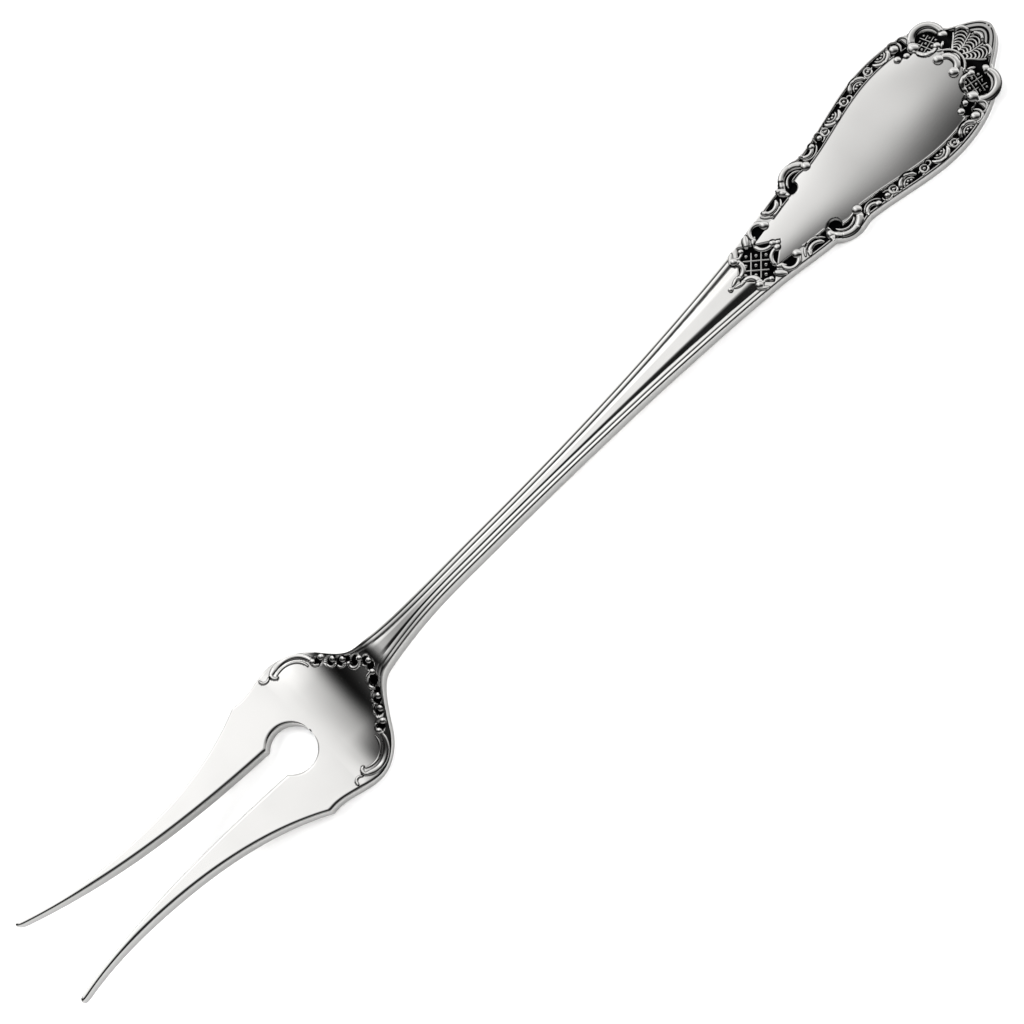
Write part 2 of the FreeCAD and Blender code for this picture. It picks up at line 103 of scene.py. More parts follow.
outer_course = []
place, leaving = (station["tips"], TIP_HALF_SPREAD + TIP_WIDTH / 2), TIP_ANGLE
for name, arriving, departing in COURSE:
    target = (station[name], HALF_WIDTHS[name])
    outer_course.append(bend(place, leaving, target, arriving))
    place, leaving = target, departing
outer_course = np.concatenate(outer_course)
tip_inside = (station["tips"], TIP_HALF_SPREAD - TIP_WIDTH / 2)
inner_course = bend(tip_inside, GAP_ANGLE, (station["eye"], SLOT_HALF_WIDTH), 0)


def outer_edge(x):
    """Half width of the outline."""
    return np.interp(x, outer_course[:, 0], outer_course[:, 1]) - tip_taper(x)


def tip_taper(x):
    """How far both edges of a tine draw in at its rounded tip."""
    short = np.clip((station["tips"] + TIP_ROUND - x) / TIP_ROUND, 0, 1)
    return TIP_WIDTH / 2 * (1 - np.sqrt(1 - TIP_CLOSURE * short**2))


def inner_edge(x):
    """Half width of the gap and the eye, nothing behind the eye."""
    gap = np.where(x < station["eye"], np.interp(x, inner_course[:, 0], inner_course[:, 1]) + tip_taper(x), 0)
    eye = EYE_HALF_WIDTH * np.sqrt(np.clip(1 - ((x - eye_middle) / EYE_HALF_LENGTH) ** 2, 0, None))
    return np.maximum(gap, eye)


def smooth_line(points):
    """A natural cubic spline through points, as a function of x."""
    xs, zs = np.array(points, float).T
    step = np.diff(xs)
    slope = np.diff(zs) / step
    system, right = np.eye(len(xs)), np.zeros(len(xs))
    for i in range(1, len(xs) - 1):
        system[i, i - 1 : i + 2] = step[i - 1], 2 * (step[i - 1] + step[i]), step[i]
        right[i] = 6 * (slope[i] - slope[i - 1])
    bending = np.linalg.solve(system, right)

    def height(x):
        i = np.clip(np.searchsorted(xs, x) - 1, 0, len(step) - 1)
        ahead, behind = (xs[i + 1] - x) / step[i], (x - xs[i]) / step[i]
        bent = bending[i] * (ahead**3 - ahead) + bending[i + 1] * (behind**3 - behind)
        return zs[i] * ahead + zs[i + 1] * behind + bent * step[i] ** 2 / 6

    return height


back_line = smooth_line([(station[name] + along, lift) for name, along, lift, _ in SIDE])
front_line = smooth_line([(station[name] + along, lift + thickness) for name, along, lift, thickness in SIDE])


def back_height(x):
    """Height of the back, which nowhere dips under the table."""
    return np.maximum(back_line(x), 0)


# Where the scrolls of the ornament run, since the oxide lies thickest at their feet. Each row: what it is,
# the station it is set out from, how far past that its centre lies, the distance of the centre outwards
# from the axis or inwards from the edge, radius at the start and end, start angle, sweep, width at the
# start and end, and the radius of the boss at its end.
SCROLLS = [
    ("bowl scroll", "bowl", 0.8, "axis", 8.1, 3.9, 4.3, 120, -120, 1.05, 0.9, 0.45),
    ("bowl scroll line", "bowl", 0.8, "axis", 8.1, 2.95, 3.35, 112, -110, 0.25, 0.35, 0.0),
    ("bowl scroll start", "bowl", -0.45, "axis", 11.1, 0.75, 0.65, 80, 190, 0.6, 0.45, 0.0),
    ("lobe of the bowl", "bowl", -2.2, "axis", 11.9, 0.75, 0.75, 165, 165, 0.45, 0.3, 0.0),
    ("bowl leaf curl", "flank", -0.6, "axis", 7.9, 0.95, 0.95, 110, 150, 0.6, 0.35, 0.0),
    ("first bead curl", "flank", 1.0, "axis", 5.6, 0.9, 0.9, 150, 150, 0.36, 0.3, 0.0),
    ("second bead curl", "flank", 2.1, "axis", 4.1, 0.85, 0.85, 150, 150, 0.36, 0.3, 0.0),
    ("neck curl", "root", -2.6, "axis", 2.3, 1.15, 1.1, 130, 190, 0.7, 0.5, 0.5),
    ("near trellis curl", "throat", -2.9, "axis", 1.95, 1.5, 1.35, -125, 170, 0.6, 1.2, 0.6),
    ("far trellis curl", "throat", 3.7, "axis", 2.1, 1.65, 1.65, 163, 127, 0.75, 0.6, 0.6),
    ("thread end curl", "throat", -0.9, "edge", 0.75, 1.0, 1.0, 195, 140, 0.5, 0.4, 0.45),
    ("leaf curl", "throat", 4.1, "edge", 1.75, 1.45, 1.4, 195, -190, 0.7, 0.8, 0.75),
    ("foot crescent", "foot", -2.9, "edge", 0.05, 1.55, 1.55, 200, 140, 0.85, 0.7, 0.0),
    ("foot crescent line", "foot", -2.9, "edge", 0.05, 2.3, 2.3, 205, 130, 0.36, 0.36, 0.0),
    ("collar scroll", "collar", -0.8, "edge", 3.0, 2.55, 2.6, 178, -165, 0.95, 1.4, 0.8),
    ("collar scroll line", "collar", -0.8, "edge", 3.3, 1.85, 1.85, 165, -125, 0.36, 0.36, 0.0),
    ("dip curl", "dip", 0.7, "edge", 0.1, 1.2, 1.2, 190, 150, 0.7, 0.6, 0.55),
    ("dip curl line", "dip", 0.9, "edge", 0.1, 1.85, 1.85, 215, 120, 0.24, 0.24, 0.0),
    ("dip ring", "dip", 3.7, "edge", 1.05, 0.85, 0.85, 200, -300, 0.26, 0.26, 0.0),
    ("border end curl", "notch", -7.8, "edge", 1.3, 1.15, 1.15, 200, -260, 0.42, 0.36, 0.0),
    ("border end line", "notch", -6.2, "edge", 1.2, 1.0, 1.0, 120, -200, 0.3, 0.3, 0.0),
    ("corner scroll", "notch", -3.4, "axis", 5.9, 2.55, 2.55, 165, -195, 1.5, 1.15, 0.8),
    ("corner inner curl", "notch", -4.2, "axis", 5.0, 1.75, 1.6, 165, 140, 0.95, 0.75, 0.6),
    ("volute", "end", -9.8, "axis", 0.0, 1.72, 1.7, -2, 92, 1.35, 0.9, 0.85),
    ("volute line", "end", -9.8, "axis", 0.0, 2.9, 2.9, -1, 70, 0.36, 0.36, 0.0),
]
# Single bosses and beads, set out in the same way, with their radius.
STUDS = [
    ("first flank bead", "flank", 0.2, "axis", 7.5, 0.5),
    ("second flank bead", "flank", 1.4, "axis", 5.8, 0.6),
    ("third flank bead", "flank", 2.5, "axis", 4.3, 0.55),
    ("neck bead", "root", -0.9, "axis", 0.0, 0.5),
    ("trellis near stud", "throat", -5.5, "axis", 0.0, 0.4),
    ("trellis end stud", "throat", 4.9, "axis", 0.0, 0.5),
    ("dip stud", "dip", 3.7, "edge", 1.05, 0.45),
    ("border end boss", "notch", -7.8, "edge", 1.3, 0.8),
    ("corner scroll head", "notch", -5.8, "axis", 6.45, 0.95),
    ("collar head", "foot", 0.1, "axis", 5.5, 0.75),
    ("outer border bead", "notch", -8.8, "axis", 6.9, 0.6),
    ("inner border bead", "notch", -7.4, "axis", 6.3, 0.55),
]
# Leaves, short lens-shaped strokes: station, start past it and off the axis, end past it and off it, width.
LEAVES = [
    ("collar stem", "foot", -0.3, 6.5, 0.5, 4.2, 1.3),
    ("near trellis tail", "throat", -4.8, 0.25, -3.3, 0.75, 0.6),
    ("trellis leaf", "throat", 0.9, 3.0, 2.3, 4.8, 1.3),
    ("trellis side leaf", "throat", 2.0, 2.7, 3.2, 3.6, 0.8),
    ("near leaf", "throat", -2.6, 3.1, -1.2, 4.3, 0.7),
    ("volute tick", "end", -8.0, 2.8, -7.0, 3.5, 0.5),
    ("border bead tail", "notch", -6.4, 6.0, -5.8, 5.5, 0.5),
]
# The border: a rim, and within it a band of petals, which open outwards (1) or inwards (-1), with ringed
# knops between them. Both stand at shares of the length from the dip to the end.
BORDER_RIM, BORDER_WIDTH = 0.5, 1.7
PETALS = [(0.215, 1), (0.40, -1), (0.565, 1)]
KNOP_SHARES = [0.145, 0.305, 0.48]
# A petal is two arcs, each with its radius and width, round three beads.
PETAL_SWEEP = 150
PETAL_LINES = [(1.65, 0.68), (1.02, 0.3)]
PETAL_BEAD_TURN, PETAL_BEAD_REACH, PETAL_BEAD_RADIUS = 50, 0.6, 0.2
# A curl on each side of it: how far along and how deep in the band, radius, start, sweep and widths.
CURL_ALONG, CURL_DEPTH, CURL_RADIUS = 2.25, 0.45, 0.42
CURL_START, CURL_SWEEP, CURL_WIDTHS = 40, 250, (0.28, 0.24)
KNOP_RADIUS, KNOP_SWEEP, KNOP_WIDTH, KNOP_STUD = 0.64, 350, 0.36, 0.24
# Strokes have a point at each pitch, and narrow to a share of their width over a part of their length.
STROKE_PITCH, LEAST_POINTS = 0.12, 6
END_SHARE, END_GROWTH = 0.45, 4
# A stroke that starts within this distance of the axis runs on into its mirror image at full width.
MIDDLE_LIMIT = 0.3


def place_at(name, along, base, distance):
    """A point past a station, at a distance outwards from the axis or inwards from the edge."""
    x = station[name] + along
    return np.array([x, distance if base == "axis" else float(outer_edge(x)) - distance])


def stroke(centre, radii, start, sweep, widths):
    """Points (x, y, half width) along a curl, thinner at a free end."""
    length = math.radians(abs(sweep)) * sum(radii) / 2
    share = np.linspace(0, 1, max(LEAST_POINTS, int(length / STROKE_PITCH)))
    angle = np.radians(start + sweep * share)
    radius = radii[0] + (radii[1] - radii[0]) * share
    half = (widths[0] + (widths[1] - widths[0]) * share) / 2
    x, y = centre[0] + radius * np.cos(angle), centre[1] + radius * np.sin(angle)
    if abs(y[0]) > MIDDLE_LIMIT:
        half = half * np.clip(END_SHARE + END_GROWTH * share, 0, 1)
    return np.stack([x, y, half * np.clip(END_SHARE + END_GROWTH * (1 - share), 0, 1)], 1)


def straight(start, end, width, lens):
    """Points (x, y, half width) along a straight stroke, lens-shaped or even."""
    start, end = np.array(start), np.array(end)
    share = np.linspace(0, 1, max(LEAST_POINTS, int(np.linalg.norm(end - start) / STROKE_PITCH)))
    half = width / 2 * (np.sin(math.pi * (0.1 + 0.8 * share)) if lens else np.ones_like(share))
    return np.column_stack([start + (end - start) * share[:, None], half])


strokes, studs = [], []
for _, name, along, base, distance, *radii, start, sweep, start_width, end_width, boss in SCROLLS:
    centre = place_at(name, along, base, distance)
    strokes.append(stroke(centre, radii, start, sweep, (start_width, end_width)))
    if boss:
        studs.append((*(centre + heading(start + sweep) * radii[1]), boss))
for _, name, along, base, distance, radius in STUDS:
    studs.append((*place_at(name, along, base, distance), radius))
for _, name, start_along, start_y, end_along, end_y, width in LEAVES:
    x = station[name]
    strokes.append(straight((x + start_along, start_y), (x + end_along, end_y), width, True))

border_length = station["end"] - station["dip"]
border_depth = BORDER_RIM + BORDER_WIDTH
for share, outward in PETALS:
    depth = BORDER_RIM if outward > 0 else border_depth
    centre = place_at("dip", share * border_length, "edge", depth)
    start = -90 * outward - PETAL_SWEEP / 2
    for radius, width in PETAL_LINES:
        strokes.append(stroke(centre, (radius, radius), start, PETAL_SWEEP, (width, width)))
    for turn in (-PETAL_BEAD_TURN, 0, PETAL_BEAD_TURN):
        studs.append((*(centre + heading(-90 * outward + turn) * PETAL_BEAD_REACH), PETAL_BEAD_RADIUS))
    for side in (-1, 1):
        beside = centre[0] + side * CURL_ALONG - station["dip"]
        curl_centre = place_at("dip", beside, "edge", depth + outward * CURL_DEPTH)
        start = -90 * outward - side * CURL_START
        strokes.append(stroke(curl_centre, (CURL_RADIUS, CURL_RADIUS), start, CURL_SWEEP * side, CURL_WIDTHS))
for share in KNOP_SHARES:
    centre = place_at("dip", share * border_length, "edge", BORDER_RIM + BORDER_WIDTH / 2)
    strokes.append(stroke(centre, (KNOP_RADIUS, KNOP_RADIUS), 0, KNOP_SWEEP, (KNOP_WIDTH, KNOP_WIDTH)))
    studs.append((*centre, KNOP_STUD))

# The shell: lobes of nested scallops, each lobe between two raised ribs, from the volute outwards. The
# scallops of the middle lobe stop just past the axis, since the other half mirrors them.
FAN_SETBACK, SHELL_HALF_ANGLE, LOBE_ANGLE = 8.5, 84, 29
RIB_START, RIB_REACH, RIB_SHORTENING, RIB_WIDTH = 1.9, 5.7, 0.012, 0.28
SCALLOP_COUNT, SCALLOP_START, SCALLOP_PITCH, SCALLOP_WIDTH, LAST_SCALLOP_WIDTH = 7, 2.2, 0.55, 0.27, 0.45
SCALLOP_SPREAD, SCALLOP_SETBACK, SCALLOP_HALF_SWEEP, PAST_AXIS = 0.42, 0.5, 72, 0.5
fan = np.array([station["end"] - FAN_SETBACK, 0.0])
for angle in (0.5 * LOBE_ANGLE, 1.5 * LOBE_ANGLE):
    rib_end = fan + heading(angle) * (RIB_REACH - RIB_SHORTENING * angle)
    strokes.append(straight(fan + heading(angle) * RIB_START, rib_end, RIB_WIDTH, False))
for lobe in (0, 1):
    for step in range(SCALLOP_COUNT):
        reach = SCALLOP_START + SCALLOP_PITCH * step
        bulge = reach * math.sin(math.radians(SCALLOP_SPREAD * LOBE_ANGLE))
        middle = fan + heading(lobe * LOBE_ANGLE) * (reach - SCALLOP_SETBACK * bulge)
        width = LAST_SCALLOP_WIDTH if step == SCALLOP_COUNT - 1 else SCALLOP_WIDTH
        first = -PAST_AXIS if lobe == 0 else lobe * LOBE_ANGLE - SCALLOP_HALF_SWEEP
        sweep = SCALLOP_HALF_SWEEP + PAST_AXIS if lobe == 0 else 2 * SCALLOP_HALF_SWEEP
        strokes.append(stroke(middle, (bulge, bulge), first, sweep, (width, width)))

# The grooves that follow the pointed end: depth inwards and half width.
END_GROOVES = [(0.5, 0.02), (1.25, 0.12), (1.9, 0.02)]
grooves = []
end_x = np.append(np.linspace(station["notch"] - 0.4, station["end"] - 0.1, 70), station["end"])
end_y = np.where(end_x < station["end"], outer_edge(end_x), 0)
edge = np.stack([end_x, end_y], 1)
run = np.gradient(edge, axis=0)
inward = np.stack([run[:, 1], -run[:, 0]], 1) / np.linalg.norm(run, axis=1)[:, None]
for depth, half in END_GROOVES:
    line = edge + inward * depth
    line = line[line[:, 1] > -0.1]
    line = np.concatenate([line, np.linspace(line[-1], (station["end"] - depth, 0), 8)[1:]])
    grooves.append(np.column_stack([line, np.full(len(line), half)]))

# The oxide gathers along all of these, so a search tree holds their points on both sides of the axis.
half_points = np.concatenate([*strokes, *grooves, studs])
edge_points = np.concatenate([half_points, half_points * (1, -1, 1)])
stroke_tree = KDTree(len(edge_points))
for index, (x, y, _) in enumerate(edge_points):
    stroke_tree.insert((x, y, 0), index)
stroke_tree.balance()

ORNAMENT_START = station["throat"] - 6
BOWL_ORNAMENT = (station["bowl"] - 5, station["root"] + 1)
# Points to search, share of the half width at which a stroke meets the ground, and the gap elsewhere.
SEARCHED_POINTS, FOOT_SHARE, NO_STROKE = 4, 0.9, 9.0


def gap_to_strokes(x, y):
    """Distance from points to the foot of the nearest scroll, negative under it."""
    gap = np.full(x.shape, NO_STROKE)
    for at in np.ndindex(x.shape):
        if x[at] > ORNAMENT_START or BOWL_ORNAMENT[0] < x[at] < BOWL_ORNAMENT[1]:
            found = stroke_tree.find_n((x[at], y[at], 0), SEARCHED_POINTS)
            gap[at] = min(distance - FOOT_SHARE * edge_points[index, 2] for _, index, distance in found)
    return gap


# The sunk ground: how deep it lies, and the width of the step down to it.
GROUND_DEPTH, GROUND_STEP = 0.4, 0.2
# Its round patches, set out as the scrolls are, with their radius: in the curl of the leaf, at the stem of
# the collar, in the corner scroll, and behind the beads of the flanks, the neck and the corners.
GROUND_PATCHES = [
    ("throat", 4.1, "edge", 1.75, 1.35), ("foot", 1.5, "edge", 2.6, 1.1), ("notch", -4.0, "axis", 5.5, 2.2),
    ("flank", -0.6, "axis", 7.7, 0.7), ("flank", 0.9, "axis", 5.9, 0.75), ("flank", 2.0, "axis", 4.5, 0.75),
    ("flank", 3.0, "axis", 3.6, 0.6), ("root", -2.5, "axis", 2.3, 0.8), ("root", -1.3, "axis", 0.6, 0.7),
    ("notch", -8.1, "axis", 7.3, 0.8), ("notch", -6.9, "axis", 6.7, 0.9),
]
# The first patch keeps between these distances from the edge.
LEAF_BAND = (0.5, 2.3)
# The diamond of the trellis: its reach to the tines, to the end and to the side, and the size of its slope.
TRELLIS_NEAR, TRELLIS_FAR, TRELLIS_SIDE, TRELLIS_SLOPE = 3.6, 5.4, 4.2, 2.6
# The ground of the shell: where it starts and ends from the fan's middle, its rim, and its mm a degree.
SHELL_START, SHELL_REACH, SHELL_RIM, SHELL_SLOPE = 1.3, 5.75, 0.9, 0.08
border_start, border_end = station["foot"] - 4, station["notch"] - 6
eye_end = eye_middle + EYE_HALF_LENGTH
THREAD_WIDTH, THREAD_DEPTH = 0.7, 0.085
# The threads start past the flank, deepen over a length, and end before the throat.
THREADS_PAST_FLANK, THREADS_GROW, THREADS_BEFORE_THROAT = 1, 2.5, 2.2
# Rounding of the edges: reach on the tines and on the handle, share of it that falls, radius at the back.
TINE_REACH, HANDLE_REACH, FRONT_FALL, BACK_ROUND = 0.5, 0.3, 0.6, 0.35
# The field of the shaft: flat up to a share of its half width, bent over the next share, then falling at a
# slope to the threads. It starts past the root and takes its form over a length.
FIELD_FLAT, FIELD_BEND, FIELD_FALL = 0.38, 0.25, 0.24
FIELD_PAST_ROOT, FIELD_GROWS = 0.5, 3
# Half width of the crowned field between the borders, and its slope where it meets them.
field_half = smooth_line([
    (station["throat"], 2.6), (station["foot"], 4.4), (station["dip"], 6.4), (station["medallion"], 8.6),
    (station["notch"] - 3, 6.4), (station["end"], 2.4),
])
FIELD_SLOPE = 0.135
# The share by which the crown swells, from how far before the medallion, and over what length.
END_SWELL, SWELL_BEFORE, SWELL_LENGTH = 0.45, 12, 18
# How strongly the field curves up towards the end, in 1/mm, and from how far before the medallion.
END_RISE, RISE_BEFORE = 0.0013, 6
# The crown starts before the throat, stops before the end, each over a length, and steps down to the border.
CROWN_BEFORE_THROAT, CROWN_GROWS, CROWN_BEFORE_END, CROWN_FADES, BORDER_STEP = 2, 5, 5, 2, 0.25
# How strongly the bowl falls away from its middle line towards the sides, in 1/mm, along the bowl.
BOWL_CROWN = ([eye_end, station["bowl"], station["flank"], station["root"], station["root"] + 3],
              [0.0, 0.0006, 0.0042, 0.008, 0.0])
# The bowl rolls off towards its rim: how strongly, in 1/mm, and from how far off the axis.
RIM_FALL, RIM_START = 0.010, 5.5
# Lengths over which the roll grows past the eye and fades at the flank, and its end past the flank.
ROLL_GROWS, ROLL_FADES, ROLL_PAST_FLANK = 5, 2, 1
# A raised fillet and a black line inside the border: place from the border, width, and height of the fillet.
FILLET_PLACE, FILLET_WIDTH, FILLET_RISE, LINE_PLACE, LINE_WIDTH = 0.18, 0.12, 0.12, 0.42, 0.06
# How black the oxide lies in the ground, at the foot of a scroll, in the line and in the threads; the
# distance over which it fades from a foot and from a thread; and the rim that is rubbed bare.
GROUND_BLACK, FOOT_BLACK, LINE_BLACK, THREAD_BLACK = 0.92, 0.9, 0.8, 0.35
FOOT_FADE, THREAD_FADE, BARE_RIM = 0.13, 0.04, 0.05


def eased(value):
    """A soft step from 0 to 1."""
    value = np.clip(value, 0, 1)
    return value * value * (3 - 2 * value)


ground_patches = [(place_at(*place), radius) for *place, radius in GROUND_PATCHES]


def ground_edge(x, y, inside):
    """Distance to the edge of the sunk ground, negative within it."""
    band = np.max([BORDER_RIM - inside, inside - border_depth, border_start - x, x - border_end], axis=0)
    from_trellis = x - station["throat"]
    lengthwise = np.where(from_trellis < 0, -from_trellis / TRELLIS_NEAR, from_trellis / TRELLIS_FAR)
    diamond = (lengthwise + y / TRELLIS_SIDE - 1) * TRELLIS_SLOPE
    patches = [np.hypot(x - centre[0], y - centre[1]) - radius for centre, radius in ground_patches]
    patches[0] = np.max([patches[0], LEAF_BAND[0] - inside, inside - LEAF_BAND[1]], axis=0)
    reach, turn = np.hypot(x - fan[0], y), np.degrees(np.arctan2(y, x - fan[0]))
    sideways = (turn - SHELL_HALF_ANGLE) * SHELL_SLOPE
    shell = np.max([SHELL_START - reach, reach - SHELL_REACH, sideways, SHELL_RIM - inside], axis=0)
    return np.min([band, diamond, *patches, shell], axis=0)


def pressed_form(x, y, inside):
    """The broad forms of the front: the crowned field of the handle and the fall of the bowl."""
    half = field_half(x)
    within_border = eased((inside - border_depth) / BORDER_STEP)
    before_end = eased((station["end"] - CROWN_BEFORE_END - x) / CROWN_FADES)
    swell = 1 + END_SWELL * eased((x - station["medallion"] + SWELL_BEFORE) / SWELL_LENGTH)
    crown = FIELD_SLOPE * swell / 2 * np.clip(half**2 - y**2, 0, None) / half
    crown = crown * within_border * eased((x - station["throat"] + CROWN_BEFORE_THROAT) / CROWN_GROWS)
    rise = END_RISE * np.clip(x - station["medallion"] + RISE_BEFORE, 0, None) ** 2
    field = crown * before_end + rise * before_end * within_border
    on_bowl = eased((x - eye_end) / ROLL_GROWS) * eased((station["flank"] + ROLL_PAST_FLANK - x) / ROLL_FADES)
    roll = RIM_FALL * on_bowl * np.clip(np.abs(y) - RIM_START, 0, None) ** 2
    return field - np.interp(x, *BOWL_CROWN) * y**2 - roll


def relief(x, y, inside):
    """What the dies press into the front, at distances from the edge: height, and how black the oxide is."""
    lane = inside / THREAD_WIDTH
    from_flank = x - station["flank"] - THREADS_PAST_FLANK
    threaded = eased(from_flank / THREADS_GROW) * (x < station["throat"] - THREADS_BEFORE_THROAT)
    bead = THREAD_DEPTH * (np.sqrt(np.clip(1 - ((lane % 1) * 2 - 1) ** 2, 0, 1)) - 1)
    shaft_field = np.maximum(outer_edge(x) - 2 * THREAD_WIDTH, 0.1)
    sideways = np.clip(y / shaft_field, 0, 1)
    bent = np.clip(sideways - FIELD_FLAT, 0, FIELD_BEND) ** 2 / (2 * FIELD_BEND)
    steep = bent + np.clip(sideways - FIELD_FLAT - FIELD_BEND, 0, None)
    on_shaft = eased((x - station["root"] - FIELD_PAST_ROOT) / FIELD_GROWS)
    height = threaded * np.where(lane < 2, bead, on_shaft * -FIELD_FALL * shaft_field * steep)
    height += pressed_form(x, y, inside)
    sunk = eased(0.5 - ground_edge(x, y, inside) / GROUND_STEP)
    height -= GROUND_DEPTH * sunk
    bordered = (x > border_start) * (x < border_end)
    fillet = bordered * np.exp(-(((inside - border_depth - FILLET_PLACE) / FILLET_WIDTH) ** 2))
    height += FILLET_RISE * fillet
    line = bordered * np.exp(-(((inside - border_depth - LINE_PLACE) / LINE_WIDTH) ** 2))
    groove = np.min([np.abs(inside - THREAD_WIDTH), np.abs(inside - 2 * THREAD_WIDTH)], axis=0)
    in_threads = threaded * np.exp(-((groove / THREAD_FADE) ** 2))
    at_foot = np.exp(-((np.clip(gap_to_strokes(x, y), 0, None) / FOOT_FADE) ** 2))
    black = np.max([
        GROUND_BLACK * sunk, FOOT_BLACK * at_foot, LINE_BLACK * line, THREAD_BLACK * in_threads,
    ], axis=0)
    return height, black * (inside > BARE_RIM)


def spaced(start, stop, step):
    """Places from start to stop, at most a step apart."""
    return np.linspace(start, stop, max(2, math.ceil((stop - start) / step) + 1))


# Where the rings of the mesh stand: closest where the ornament is finest, and crowding towards round ends.
end_start = station["end"] - 1.2
body_stations = np.unique(np.concatenate([
    station["tips"] + TIP_ROUND * (1 - np.cos(np.linspace(0, math.pi / 2, 9))),
    spaced(station["tips"] + TIP_ROUND, eye_middle - EYE_HALF_LENGTH, 0.9),
    eye_middle - EYE_HALF_LENGTH * np.cos(np.linspace(0, math.pi, 31)),
    spaced(eye_end, station["root"], 0.22),
    spaced(station["root"], ORNAMENT_START, 1.0),
    spaced(ORNAMENT_START, station["foot"], 0.14),
    spaced(station["foot"], border_end, 0.18),
    spaced(border_end, end_start, 0.09),
    end_start + (station["end"] - end_start) * np.sin(np.linspace(0, math.pi / 2, 20)),
]))
# Rows of a ring: over each rounded edge, in the band of the border, in the field and on the back.
ROUND_STEPS, BAND_ROWS, FIELD_ROWS, BACK_ROWS = 5, 32, 26, 6
# The band reaches this far, but over no more than this share of a narrow ring.
BAND_REACH, BAND_SHARE = 2.9, 0.7
# A rounding stays under the width and the thickness of the metal divided by these.
WIDTH_DIVISOR, METAL_DIVISOR = 2.5, 3
# Painted shade on the cut walls, at their upper and lower edge, and the share of a rounding counted as wall.
PAINTED_WALL_SHADE, WALL_SHARE = (0.46, 0.54), 0.12


def rounding(distance, radius):
    """How far a rounded edge falls away, at a distance from it."""
    fall = np.clip(radius - distance, 0, None)
    return radius - np.sqrt(np.clip(radius**2 - fall**2, 0, None))


def ring_rows(radius, middle, span, opened):
    """Distances from the rim: over its rounding, in the middle, and over the inner edge if there is one."""
    rim = radius * (1 - np.cos(np.linspace(0, math.pi / 2, ROUND_STEPS)))
    inner_rim = span - rim[::-1][1:] if opened else np.full(ROUND_STEPS - 1, span)
    return np.concatenate([rim, middle, inner_rim])


def half_body():
    """One ring of (x, y, z, oxide and painted wall shade) per station: over the front, round the rim, under
    the back.
    """
    outer, inner = outer_edge(body_stations), inner_edge(body_stations)
    width = np.maximum(outer - inner, 1e-4)
    thick = front_line(body_stations) - back_height(body_stations)
    open_edge = body_stations < eye_end - 1e-6
    rings = []
    for x, reach, span, metal, opened in zip(body_stations, outer, width, thick, open_edge):
        reach_in = TINE_REACH if x < station["flank"] else HANDLE_REACH
        round_front = min(reach_in, span / WIDTH_DIVISOR, metal / METAL_DIVISOR)
        round_back = min(BACK_ROUND, span / WIDTH_DIVISOR, metal / METAL_DIVISOR)
        rest = span - round_front if opened else span
        band = min(BAND_REACH, round_front + BAND_SHARE * (rest - round_front))
        band_rows = np.linspace(round_front, band, BAND_ROWS + 1)[1:]
        field_rows = np.linspace(band, rest, FIELD_ROWS + 1)[1:]
        back_rows = np.linspace(round_back, span - round_back, BACK_ROWS)[1:]
        inside = ring_rows(round_front, np.concatenate([band_rows, field_rows]), span, opened)
        under = ring_rows(round_back, back_rows, span, opened)
        nose = rounding(x - station["tips"], TIP_NOSE)
        front = front_line(x) - nose - FRONT_FALL * rounding(inside, round_front)
        back = back_height(x) + nose + rounding(under, round_back)
        if opened:
            front = front - FRONT_FALL * rounding(span - inside, round_front)
            back = back + rounding(span - under, round_back)
        front_ring = np.stack([
            np.full_like(inside, x), np.maximum(reach - inside, 0), front, inside, inside,
        ], 1)
        back_ring = np.stack([
            np.full_like(under, x), np.maximum(reach - under, 0), back, under, np.full_like(under, -1),
        ], 1)
        # The cut walls get painted shade: a grey share in the oxide column that darkens their colour.
        wall = WALL_SHARE * round_back
        for ring, wall_painted_shade in zip((front_ring, back_ring), PAINTED_WALL_SHADE):
            ring[:, 3] = wall_painted_shade * ((ring[:, 3] < wall) | ((ring[:, 3] > span - wall) & opened))
        rings.append(np.concatenate([front_ring[::-1], back_ring]))
    rings = np.array(rings)
    top = rings[..., 4] >= 0
    height, oxide_and_wall_shade = relief(rings[..., 0], rings[..., 1], np.where(top, rings[..., 4], 0))
    rings[..., 2] += np.where(top, height, 0)
    rings[..., 3] = np.maximum(rings[..., 3], np.where(top, oxide_and_wall_shade, 0))
    return rings[..., :4]


# The rings are joined into two mirrored halves, which meet on the middle plane.
half_rings = half_body()
columns, around = half_rings.shape[:2]
points, faces = [], []
for side in (1, -1):
    rings = half_rings * (1, side, 1, 1)
    first = sum(len(part) for part in points)
    points.append(rings.reshape(-1, 4))
    for i in range(columns - 1):
        for j in range(around):
            k = (j + 1) % around
            corners = [i * around + j, i * around + k, (i + 1) * around + k, (i + 1) * around + j]
            faces.append([first + corner for corner in (corners if side > 0 else corners[::-1])])
    for i in (0, columns - 1):
        faces.append([first + i * around + j for j in range(around)])
points = np.concatenate(points)

blank_mesh = bpy.data.meshes.new("pressed_blank")
blank_mesh.from_pydata((points[:, :3] * MM).tolist(), [], faces)
# The fourth column holds the black oxide of the ornament and the painted grey shade of the cut walls.
blank_mesh.attributes.new("oxide_and_wall_shade", "FLOAT", "POINT").data.foreach_set("value", points[:, 3])

MERGE_DISTANCE, SLIVER_WIDTH = 1e-7, 1e-8


